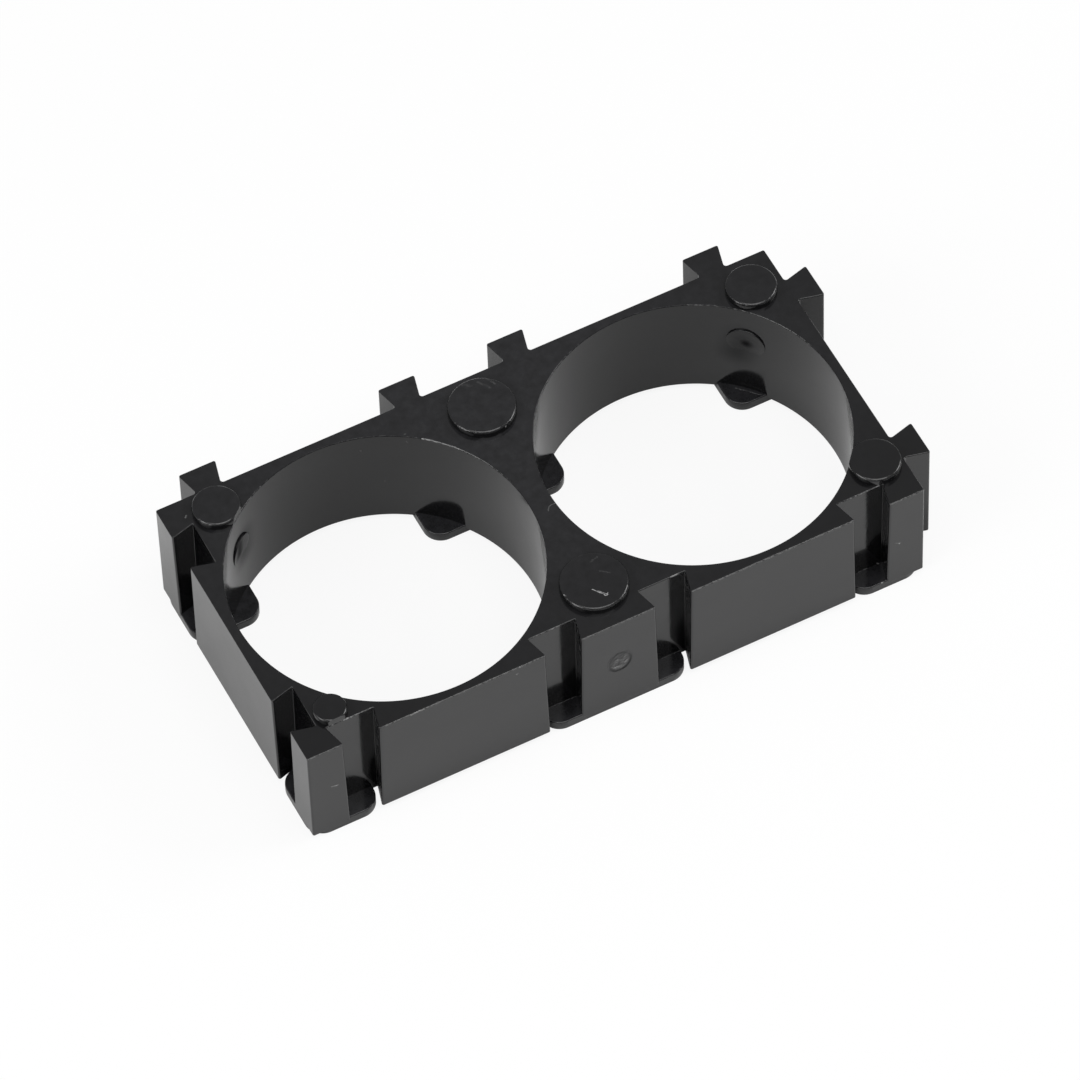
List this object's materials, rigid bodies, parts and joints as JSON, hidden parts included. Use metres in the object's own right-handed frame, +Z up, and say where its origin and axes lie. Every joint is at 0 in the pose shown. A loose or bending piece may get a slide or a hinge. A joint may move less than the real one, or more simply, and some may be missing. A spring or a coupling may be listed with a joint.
{
  "type": "battery cell holder bracket",
  "caption": "Black plastic bracket whose round bores hold cylindrical battery cells upright and apart, with lips below, pads above, and dovetail tabs and slots for joining more.",
  "frame": {"origin": "centre of the bounding box in plan, tabs included, at the lips' underside", "axes": "+X from one bore to the other, towards the end with the tabs; +Y towards the long side with the tabs; +Z up along the bores, from the lips to the pads"},
  "size_m": [0.0724, 0.0374, 0.0152],
  "materials": {
    "black_abs": "semi-gloss, as moulded"
  },
  "bodies": {
    "root": {"cell_holder_bracket": "black_abs"}
  },
  "joints": []
}
